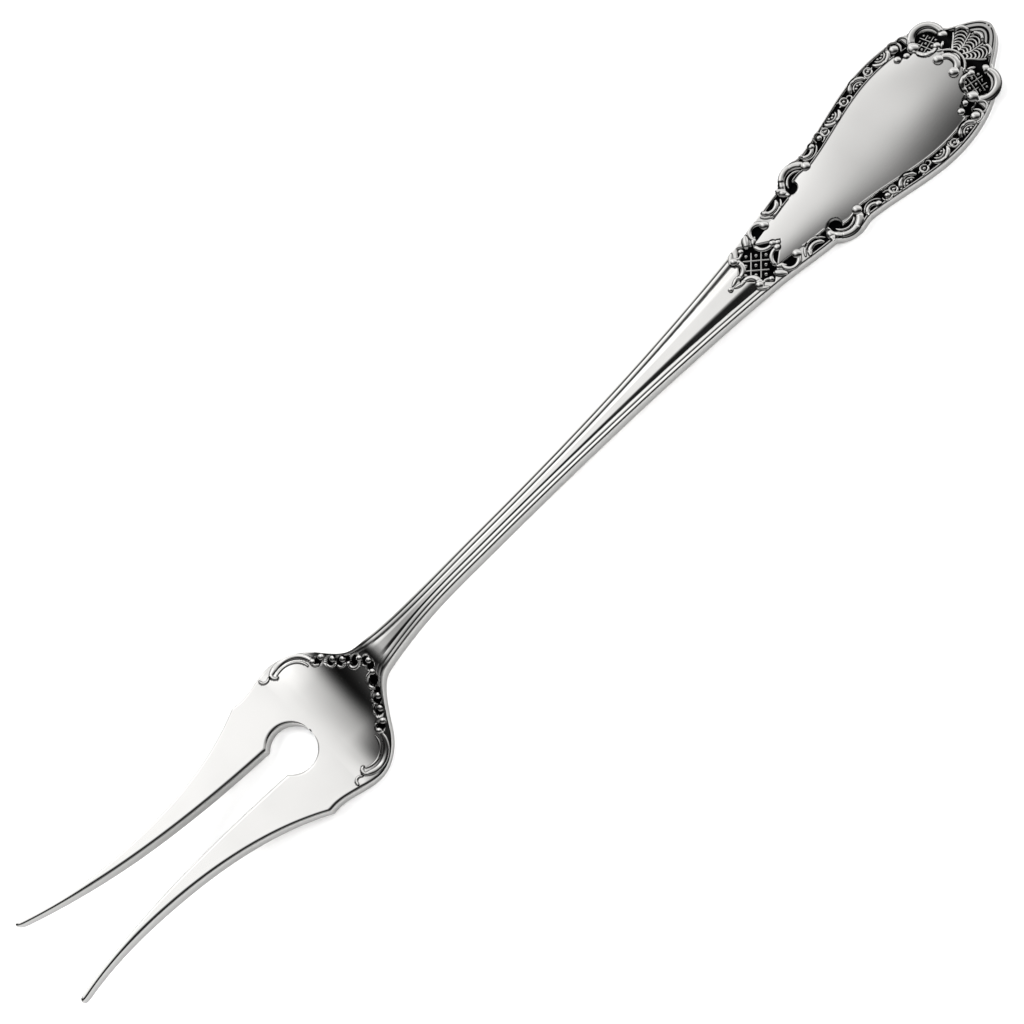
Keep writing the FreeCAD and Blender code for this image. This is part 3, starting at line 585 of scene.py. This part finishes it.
def cleaned(mesh):
    """Merges doubles, drops walls left inside on the middle plane and turns all faces outwards."""
    work = bmesh.new()
    work.from_mesh(mesh)
    bmesh.ops.remove_doubles(work, verts=work.verts, dist=MERGE_DISTANCE)
    bmesh.ops.dissolve_degenerate(work, edges=work.edges, dist=SLIVER_WIDTH)
    hidden = [face for face in work.faces if all(abs(vert.co.y) < MERGE_DISTANCE for vert in face.verts)]
    bmesh.ops.delete(work, geom=hidden, context="FACES")
    bmesh.ops.recalc_face_normals(work, faces=work.faces)
    for face in work.faces:
        face.smooth = True
    work.to_mesh(mesh)
    work.free()


cleaned(blank_mesh)
blank = bpy.data.objects.new("pressed_blank", blank_mesh)
scene.collection.objects.link(blank)


def linear(hex_colour):
    """An sRGB hex colour as linear RGBA."""
    parts = [int(hex_colour[i : i + 2], 16) / 255 for i in (1, 3, 5)]
    return tuple(p / 12.92 if p <= 0.04045 else ((p + 0.055) / 1.055) ** 2.4 for p in parts) + (1.0,)


def add_node(tree, kind, settings=(), **inputs):
    """Adds a node, sets its properties, and sets or links its inputs by name, or by number as i0, i1."""
    node = tree.nodes.new(kind)
    for key, value in dict(settings).items():
        setattr(node, key, value)
    for name, value in inputs.items():
        socket = node.inputs[int(name[1:])] if name[1:].isdigit() else node.inputs[name.replace("_", " ")]
        if isinstance(value, bpy.types.NodeSocket):
            tree.links.new(value, socket)
        else:
            socket.default_value = value
    return node


def polished_silver():
    """Sterling silver, pressed and then buffed on a cotton wheel: a bright, faintly soft mirror with
    hairline scratches of use. Liver of sulphur leaves black silver sulphide in the recesses, rubbed off the
    high places. Real hairlines are about ten times finer than these, which are drawn to show."""
    silver = bpy.data.materials.new("buffed_and_oxidised_sterling_silver")
    silver.use_nodes = True
    tree = silver.node_tree
    shader = tree.nodes["Principled BSDF"]
    # This attribute holds the black oxide of the recesses and the painted grey shade of the cut walls; both
    # darken the colour.
    oxide_and_wall_shade = add_node(tree, "ShaderNodeAttribute", {"attribute_name": "oxide_and_wall_shade"})
    place = add_node(tree, "ShaderNodeTexCoord")
    # Pitches and depth in millimetres. A scratch is this many times as long as it is wide.
    cloud_pitch, scratch_pitch, scratch_depth, scratch_stretch = 6.0, 0.25, 0.02, 40
    bare_below, black_above = 0.15, 0.75
    brightest, dullest, black_roughness = 0.10, 0.16, 0.45
    cloud = add_node(tree, "ShaderNodeTexNoise", Vector=place.outputs["Object"], Scale=1 / (cloud_pitch * MM))
    stretched = add_node(tree, "ShaderNodeMapping", Vector=place.outputs["Object"], Rotation=(0, 0, 0.35),
                         Scale=(1 / scratch_stretch, 1, 0.05))
    hair = add_node(tree, "ShaderNodeTexNoise", Vector=stretched.outputs["Vector"],
                    Scale=1 / (scratch_pitch * MM), Detail=3.0)
    blackness = add_node(tree, "ShaderNodeMapRange", {"interpolation_type": "SMOOTHSTEP"},
                         Value=oxide_and_wall_shade.outputs["Fac"], i1=bare_below, i2=black_above)
    colour = add_node(tree, "ShaderNodeMix", {"data_type": "RGBA"}, i0=blackness.outputs[0],
                      i6=linear("#f3f2f0"), i7=linear("#0c0c0d"))
    buffed = add_node(tree, "ShaderNodeMapRange", Value=cloud.outputs["Fac"], i1=0.3, i2=0.7, i3=brightest,
                      i4=dullest)
    gloss = add_node(tree, "ShaderNodeMix", {"data_type": "FLOAT"}, i0=blackness.outputs[0],
                     i2=buffed.outputs[0], i3=black_roughness)
    bump = add_node(tree, "ShaderNodeBump", Strength=0.04, Distance=scratch_depth * MM,
                    Height=hair.outputs["Fac"])
    tree.links.new(colour.outputs[2], shader.inputs["Base Color"])
    tree.links.new(gloss.outputs[0], shader.inputs["Roughness"])
    tree.links.new(bump.outputs["Normal"], shader.inputs["Normal"])
    shader.inputs["Metallic"].default_value = 1.0
    return silver


silver = polished_silver()
blank_mesh.materials.append(silver)
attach(blank, "root")
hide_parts("serving_fork")

# The scrolls: curled strips with rounded backs that the die leaves standing over the ground, along the
# border, round the trellis, in the shell, and on the shoulders of the bowl. They are one metal with the
# blank.

# Height of a strip's middle over the ground, its rise as a share of its half width, which the round of its
# section shares, and how far it may stand over the front. The section is a square of half width 1, rounded.
STROKE_LIFT, STROKE_RISE, STROKE_TOP, SECTION_ROUND = 0.16, 0.62, 0.2, 0.8
# A raised piece is black up to the first height over the surface, and bare this much higher.
BLACK_FOOT, BLACK_TO_BARE = 0.02, 0.12


def surface_height(x, y, sunk=True):
    """Height of the pressed front without its rounding, in the sunk ground or as if it weren't sunk."""
    y = np.abs(y)
    inside = outer_edge(x) - y
    height = front_line(x) + pressed_form(x, y, inside)
    if sunk:
        height -= GROUND_DEPTH * eased(0.5 - ground_edge(x, y, inside) / GROUND_STEP)
    return height


def new_tree(name, inputs):
    """An empty geometry tree with a geometry input and output and named inputs."""
    tree = bpy.data.node_groups.new(name, "GeometryNodeTree")
    tree.interface.new_socket("Geometry", in_out="INPUT", socket_type="NodeSocketGeometry")
    for label, kind in inputs:
        tree.interface.new_socket(label, in_out="INPUT", socket_type=kind)
    tree.interface.new_socket("Geometry", in_out="OUTPUT", socket_type="NodeSocketGeometry")
    return tree, tree.nodes.new("NodeGroupInput"), tree.nodes.new("NodeGroupOutput")


def finish_tree(tree, geometry, output, material):
    """Ends a tree in Realize Instances, smooth shading and Set Material."""
    real = add_node(tree, "GeometryNodeRealizeInstances", Geometry=geometry)
    smooth = add_node(tree, "GeometryNodeSetShadeSmooth", Geometry=real.outputs[0])
    finished = add_node(tree, "GeometryNodeSetMaterial", Geometry=smooth.outputs[0], Material=material)
    tree.links.new(finished.outputs[0], output.inputs[0])


def grown(name, base, tree, values):
    """Runs a geometry tree on base data and returns the result as a plain mesh object."""
    carrier = bpy.data.objects.new(name + "_carrier", base)
    scene.collection.objects.link(carrier)
    modifier = carrier.modifiers.new("grow", "NODES")
    modifier.node_group = tree
    for item in tree.interface.items_tree:
        if item.in_out == "INPUT" and item.name in values:
            modifier[item.identifier] = values[item.name]
    bpy.context.view_layer.update()
    evaluated = carrier.evaluated_get(bpy.context.evaluated_depsgraph_get())
    mesh = bpy.data.meshes.new_from_object(evaluated)
    mesh.name = name
    carrier.modifiers.remove(modifier)
    bpy.data.objects.remove(carrier)
    mesh.materials.clear()
    mesh.materials.append(silver)
    mesh.polygons.foreach_set("material_index", [0] * len(mesh.polygons))
    piece = bpy.data.objects.new(name, mesh)
    scene.collection.objects.link(piece)
    return piece


def blackened(piece):
    """Marks oxide on a raised piece: black at its foot, rubbed bright on its back."""
    mesh = piece.data
    co = np.empty(len(mesh.vertices) * 3)
    mesh.vertices.foreach_get("co", co)
    x, y, z = co.reshape(-1, 3).T / MM
    above = z - surface_height(x, y)
    oxide_and_wall_shade = 1 - eased((above - BLACK_FOOT) / BLACK_TO_BARE)
    mesh.attributes.new("oxide_and_wall_shade", "FLOAT", "POINT").data.foreach_set("value", oxide_and_wall_shade)


def finished(piece):
    """Blackens and cleans a raised piece, and puts it on the body of the fork with the blank."""
    blackened(piece)
    cleaned(piece.data)
    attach(piece, "root")
    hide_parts("serving_fork")


tree, group_in, group_out = new_tree("scroll_sweep", [
    ("Back height", "NodeSocketFloat"), ("Profile points", "NodeSocketInt"),
])
square = add_node(tree, "GeometryNodeCurvePrimitiveQuadrilateral", Width=2.0, Height=2.0)
rounded = add_node(tree, "GeometryNodeFilletCurve", {"mode": "POLY"}, Curve=square.outputs[0],
                   Radius=SECTION_ROUND, Count=group_in.outputs[2])
heights = add_node(tree, "ShaderNodeCombineXYZ", X=1.0, Y=group_in.outputs[1], Z=1.0)
profile = add_node(tree, "GeometryNodeTransform", Geometry=rounded.outputs[0], Scale=heights.outputs[0])
upright = add_node(tree, "GeometryNodeSetCurveNormal", {"mode": "Z_UP"}, Curve=group_in.outputs[0])
width = add_node(tree, "GeometryNodeInputRadius")
swept = add_node(tree, "GeometryNodeCurveToMesh", Curve=upright.outputs[0], Profile_Curve=profile.outputs[0],
                 Scale=width.outputs[0], Fill_Caps=True)
finish_tree(tree, swept.outputs[0], group_out, silver)

scroll_lines = bpy.data.curves.new("scroll_lines", "CURVE")
scroll_lines.dimensions = "3D"
for side in (1, -1):
    for line in strokes:
        spline = scroll_lines.splines.new("POLY")
        spline.points.add(len(line) - 1)
        x, y, half = line.T
        over_ground = surface_height(x, y) + STROKE_LIFT
        under_limit = surface_height(x, y, sunk=False) + STROKE_TOP - STROKE_RISE * half
        heights = np.minimum(over_ground, under_limit)
        for point, (x, y, half), height in zip(spline.points, line, heights):
            point.co = (x * MM, y * side * MM, height * MM, 1)
            point.radius = half * MM
scrolls = grown("scrolls", scroll_lines, tree, {"Back height": STROKE_RISE, "Profile points": 3})
finished(scrolls)

# The bosses, beads and studs: round points of the pressing, at the ends of the scrolls, in the hollows of
# the petals and along the flanks of the bowl. Each is a flattened ball, half sunk in the ground.
BOSS_LIFT, BOSS_FLATNESS, BOSS_FACETS, BOSS_RINGS = 0.24, 0.38, 16, 10
tree, group_in, group_out = new_tree("bosses_on_points", [
    ("Flatness", "NodeSocketFloat"), ("Facets", "NodeSocketInt"), ("Rings", "NodeSocketInt"),
])
ball = add_node(tree, "GeometryNodeMeshUVSphere", Segments=group_in.outputs[2], Rings=group_in.outputs[3],
                Radius=1.0)
radius = add_node(tree, "GeometryNodeInputNamedAttribute", {"data_type": "FLOAT"}, Name="boss_radius")
flattened = add_node(tree, "ShaderNodeCombineXYZ", X=1.0, Y=1.0, Z=group_in.outputs[1])
sized = add_node(tree, "ShaderNodeVectorMath", {"operation": "SCALE"}, Vector=flattened.outputs[0],
                 Scale=radius.outputs[0])
placed = add_node(tree, "GeometryNodeInstanceOnPoints", Points=group_in.outputs[0], Instance=ball.outputs[0],
                  Scale=sized.outputs[0])
finish_tree(tree, placed.outputs[0], group_out, silver)


def points_with_radius(name, rows, lift):
    """Loose points on the front for rows of (x, y, radius) and their mirror images."""
    rows = np.array(rows)
    mirror = rows[rows[:, 1] > 1e-6] * (1, -1, 1)
    rows = np.concatenate([rows, mirror])
    z = surface_height(rows[:, 0], rows[:, 1]) + lift
    mesh = bpy.data.meshes.new(name)
    mesh.from_pydata((np.column_stack([rows[:, :2], z]) * MM).tolist(), [], [])
    mesh.attributes.new("boss_radius", "FLOAT", "POINT").data.foreach_set("value", rows[:, 2] * MM)
    return mesh


bosses = grown("bosses", points_with_radius("boss_points", studs, BOSS_LIFT), tree,
               {"Flatness": BOSS_FLATNESS, "Facets": BOSS_FACETS, "Rings": BOSS_RINGS})
finished(bosses)

# The trellis: a pressed lattice of crossed bars on black ground, with a round stud in each opening. A
# large one lies before the medallion, and a small one inside each corner scroll.
LATTICE_PITCH, STUD_RADIUS, BAR_WIDTH, STUDS_A_SIDE = 1.6, 0.3, 0.26, 3
# The bars pass the outer studs by this share of the pitch, both ends together.
BAR_OVERHANG = 0.62
STUD_FACETS, STUD_RINGS, BAR_FACETS = 12, 8, 10
tree, group_in, group_out = new_tree("trellis_lattice", [
    ("Pitch", "NodeSocketFloat"), ("Stud radius", "NodeSocketFloat"), ("Bar width", "NodeSocketFloat"),
    ("Studs a side", "NodeSocketInt"),
])
_, pitch_in, stud_in, bar_in, count_in = group_in.outputs[:5]
gaps = add_node(tree, "ShaderNodeMath", {"operation": "SUBTRACT"}, i0=count_in, i1=1.0)
side_length = add_node(tree, "ShaderNodeMath", {"operation": "MULTIPLY"}, i0=gaps.outputs[0], i1=pitch_in)
grid = add_node(tree, "GeometryNodeMeshGrid", Size_X=side_length.outputs[0], Size_Y=side_length.outputs[0],
                Vertices_X=count_in, Vertices_Y=count_in)
stud = add_node(tree, "GeometryNodeMeshUVSphere", Segments=STUD_FACETS, Rings=STUD_RINGS, Radius=stud_in)
studded = add_node(tree, "GeometryNodeInstanceOnPoints", Points=grid.outputs[0], Instance=stud.outputs[0])
bar_reach = add_node(tree, "ShaderNodeMath", {"operation": "MULTIPLY_ADD"}, i0=pitch_in, i1=BAR_OVERHANG,
                     i2=side_length.outputs[0])
half_bar = add_node(tree, "ShaderNodeMath", {"operation": "MULTIPLY"}, i0=bar_reach.outputs[0], i1=0.5)
bar_start = add_node(tree, "ShaderNodeMath", {"operation": "MULTIPLY"}, i0=half_bar.outputs[0], i1=-1.0)
from_point = add_node(tree, "ShaderNodeCombineXYZ", X=bar_start.outputs[0])
to_point = add_node(tree, "ShaderNodeCombineXYZ", X=half_bar.outputs[0])
bar_line = add_node(tree, "GeometryNodeCurvePrimitiveLine", Start=from_point.outputs[0],
                    End=to_point.outputs[0])
half_width = add_node(tree, "ShaderNodeMath", {"operation": "MULTIPLY"}, i0=bar_in, i1=0.5)
bar_section = add_node(tree, "GeometryNodeCurvePrimitiveCircle", {"mode": "RADIUS"}, Resolution=BAR_FACETS,
                       Radius=half_width.outputs[0])
bar = add_node(tree, "GeometryNodeCurveToMesh", Curve=bar_line.outputs[0],
               Profile_Curve=bar_section.outputs[0], Fill_Caps=True)
half_pitch = add_node(tree, "ShaderNodeMath", {"operation": "MULTIPLY"}, i0=pitch_in, i1=0.5)
first_y = add_node(tree, "ShaderNodeMath", {"operation": "MULTIPLY_ADD"}, i0=side_length.outputs[0], i1=-0.5,
                   i2=half_pitch.outputs[0])
bar_first = add_node(tree, "ShaderNodeCombineXYZ", Y=first_y.outputs[0])
bar_step = add_node(tree, "ShaderNodeCombineXYZ", Y=pitch_in)
bar_places = add_node(tree, "GeometryNodeMeshLine", Count=gaps.outputs[0],
                      Start_Location=bar_first.outputs[0], Offset=bar_step.outputs[0])
bars = add_node(tree, "GeometryNodeInstanceOnPoints", Points=bar_places.outputs[0], Instance=bar.outputs[0])
crossed = add_node(tree, "GeometryNodeTransform", Geometry=bars.outputs[0], Rotation=(0, 0, math.pi / 2))
lattice = tree.nodes.new("GeometryNodeJoinGeometry")
for part in (studded, bars, crossed):
    tree.links.new(part.outputs[0], lattice.inputs[0])
turned = add_node(tree, "GeometryNodeInputNamedAttribute", {"data_type": "FLOAT"}, Name="lattice_turn")
scale = add_node(tree, "GeometryNodeInputNamedAttribute", {"data_type": "FLOAT"}, Name="lattice_scale")
rotation = add_node(tree, "ShaderNodeCombineXYZ", Z=turned.outputs[0])
placed = add_node(tree, "GeometryNodeInstanceOnPoints", Points=group_in.outputs[0],
                  Instance=lattice.outputs[0], Rotation=rotation.outputs[0], Scale=scale.outputs[0])
finish_tree(tree, placed.outputs[0], group_out, silver)

# Each lattice: station, how far past it, how far off the axis, scale and turn.
LATTICES = [("throat", 0.0, 0.0, 1.0, 45), ("notch", -4.0, 5.45, 0.72, 13), ("notch", -4.0, -5.45, 0.72, -13)]
# Height of the middle of bars and studs over the ground, which they follow.
LATTICE_LIFT = 0.1
lattice_points = bpy.data.meshes.new("lattice_points")
places = [((station[name] + along) * MM, y * MM, 0) for name, along, y, _, _ in LATTICES]
lattice_points.from_pydata(places, [], [])
scales, turns = [row[3] for row in LATTICES], [math.radians(row[4]) for row in LATTICES]
lattice_points.attributes.new("lattice_scale", "FLOAT", "POINT").data.foreach_set("value", scales)
lattice_points.attributes.new("lattice_turn", "FLOAT", "POINT").data.foreach_set("value", turns)
trellis = grown("trellis", lattice_points, tree, {
    "Pitch": LATTICE_PITCH * MM, "Stud radius": STUD_RADIUS * MM, "Bar width": BAR_WIDTH * MM,
    "Studs a side": STUDS_A_SIDE,
})
co = np.empty(len(trellis.data.vertices) * 3)
trellis.data.vertices.foreach_get("co", co)
co = co.reshape(-1, 3)
co[:, 2] += (surface_height(co[:, 0] / MM, co[:, 1] / MM) + LATTICE_LIFT) * MM
trellis.data.vertices.foreach_set("co", co.ravel())
finished(trellis)

# The table that the fork is photographed on: matt white card, far wider than the view, so that its edges are
# never seen. It is no part of the fork.
CARD_HALF_SIDE = 3.0
card_mesh = bpy.data.meshes.new("table_card")
corners = [(x * CARD_HALF_SIDE, y * CARD_HALF_SIDE, 0) for x, y in ((-1, -1), (1, -1), (1, 1), (-1, 1))]
card_mesh.from_pydata(corners, [], [(0, 1, 2, 3)])
card = bpy.data.objects.new("table_card", card_mesh)
scene.collection.objects.link(card)
white_card = bpy.data.materials.new("matt_white_card")
white_card.use_nodes = True
white_card.node_tree.nodes["Principled BSDF"].inputs["Base Color"].default_value = linear("#fbfbfb")
white_card.node_tree.nodes["Principled BSDF"].inputs["Roughness"].default_value = 0.9
card_mesh.materials.append(white_card)

# The light: a wide soft bank above the far side of the fork, fading out past both of its ends and towards
# the near side, in a room that is black overhead, grey on the near side and bright on the far side. The
# metal mirrors these fades as its shading. Two lamps that it doesn't mirror keep the card white.
ROOM_SIDE = Vector((0.72, 0.69, 0.0))


def fade_ramp(tree, value, low, high, stops):
    """A soft grey ramp over value, from low to high, through stops of (value, brightness)."""
    share = add_node(tree, "ShaderNodeMapRange", Value=value, i1=low, i2=high)
    fade = add_node(tree, "ShaderNodeValToRGB", Fac=share.outputs[0])
    ramp = fade.color_ramp
    ramp.interpolation = "B_SPLINE"
    ramp.elements.remove(ramp.elements[-1])
    for place, brightness in stops:
        position = (place - low) / (high - low)
        stop = ramp.elements.new(position) if position > 0 else ramp.elements[0]
        stop.position = position
        stop.color = (brightness, brightness, brightness, 1)
    return fade.outputs["Color"]


world = bpy.data.worlds.new("studio")
world.use_nodes = True
tree = world.node_tree
direction = add_node(tree, "ShaderNodeTexCoord")
towards = add_node(tree, "ShaderNodeVectorMath", {"operation": "DOT_PRODUCT"},
                   i0=direction.outputs["Generated"], i1=ROOM_SIDE)
room = fade_ramp(tree, towards.outputs["Value"], -1.0, 1.0, [
    (-1.0, 0.34), (-0.7, 0.28), (-0.45, 0.1), (-0.25, 0.01), (-0.05, 0.002), (0.06, 0.006), (0.14, 0.03),
    (0.22, 0.11), (0.30, 0.28), (0.38, 0.43), (0.46, 0.50), (0.54, 0.64), (0.62, 0.92), (0.70, 0.95),
    (0.80, 0.74), (1.0, 0.62),
])
tree.links.new(room, tree.nodes["Background"].inputs["Color"])
scene.world = world

# The bank hangs above the table, in millimetres, from west to east and from south to north. Only the metal
# mirrors it: it lights no card and casts no shadow.
BANK_HEIGHT, BANK_REACH, BANK_BRIGHTNESS = 600, (-420, 260, 20, 760), 0.6
bank_mesh = bpy.data.meshes.new("light_bank")
west, east, south, north = BANK_REACH
bank_corners = [(west, south), (east, south), (east, north), (west, north)]
bank_mesh.from_pydata([(x * MM, y * MM, BANK_HEIGHT * MM) for x, y in bank_corners], [], [(3, 2, 1, 0)])
bank = bpy.data.objects.new("light_bank", bank_mesh)
scene.collection.objects.link(bank)
glow = bpy.data.materials.new("light_through_cloth")
glow.use_nodes = True
tree = glow.node_tree
tree.nodes.remove(tree.nodes["Principled BSDF"])
place = add_node(tree, "ShaderNodeTexCoord")
parts = add_node(tree, "ShaderNodeSeparateXYZ", Vector=place.outputs["Object"])
lengthwise = fade_ramp(tree, parts.outputs["X"], west * MM, east * MM, [
    (-0.42, 0.0), (-0.30, 0.02), (-0.20, 0.18), (-0.10, 0.62), (0.0, 1.0), (0.13, 1.0), (0.165, 0.62),
    (0.205, 0.0), (0.26, 0.0),
])
crosswise = fade_ramp(tree, parts.outputs["Y"], south * MM, north * MM, [
    (0.02, 0.0), (0.12, 0.12), (0.20, 0.7), (0.27, 1.0), (0.76, 1.0),
])
shaded = add_node(tree, "ShaderNodeMix", {"data_type": "RGBA", "blend_type": "MULTIPLY"}, i0=1.0,
                  i6=lengthwise, i7=crosswise)
light = add_node(tree, "ShaderNodeEmission", Color=shaded.outputs[2], Strength=BANK_BRIGHTNESS)
clear = add_node(tree, "ShaderNodeBsdfTransparent")
both = add_node(tree, "ShaderNodeAddShader", i0=light.outputs[0], i1=clear.outputs[0])
tree.links.new(both.outputs[0], tree.nodes["Material Output"].inputs["Surface"])
bank_mesh.materials.append(glow)
bank.visible_diffuse = False
bank.visible_shadow = False
LAMP_SIZE, LAMP_POWER = 0.9, 12.0
for name, place in (("card_lamp_far", (-300, 500, 900)), ("card_lamp_near", (300, -500, 900))):
    lamp_data = bpy.data.lights.new(name, "AREA")
    lamp_data.size, lamp_data.energy = LAMP_SIZE, LAMP_POWER
    lamp = bpy.data.objects.new(name, lamp_data)
    lamp.location = Vector(place) * MM
    lamp.rotation_euler = (-lamp.location).to_track_quat("-Z", "Y").to_euler()
    lamp.visible_glossy = False
    scene.collection.objects.link(lamp)

# The camera: a long lens half a metre away, about 24 degrees off the vertical towards the near side of the
# fork, turned so that the fork lies slantwise in the picture.
TILT, ROLL = math.radians(24), math.radians(46.2)
LOOK_AT = Vector((-3.9, 1.2, 2.3)) * MM
CAMERA_DISTANCE = 489.6 * MM
# The focal length and the width of the picture, both in pixels of the photo.
FOCAL_PIXELS, PICTURE_PIXELS = 3161, 1024
camera_data = bpy.data.cameras.new("camera")
camera_data.sensor_width = 36
camera_data.lens = camera_data.sensor_width * (FOCAL_PIXELS / PICTURE_PIXELS)
camera_data.clip_start, camera_data.clip_end = 0.01, 10
camera = bpy.data.objects.new("camera", camera_data)
scene.collection.objects.link(camera)
to_camera = Vector((0, -math.sin(TILT), math.cos(TILT)))
along, upward = Vector((1, 0, 0)), Vector((0, math.cos(TILT), math.sin(TILT)))
picture_right = along * math.cos(ROLL) - upward * math.sin(ROLL)
picture_up = along * math.sin(ROLL) + upward * math.cos(ROLL)
turn = Matrix((picture_right, picture_up, to_camera)).transposed()
camera.matrix_world = Matrix.Translation(LOOK_AT + to_camera * CAMERA_DISTANCE) @ turn.to_4x4()
scene.camera = camera
scene.view_settings.view_transform = "Standard"
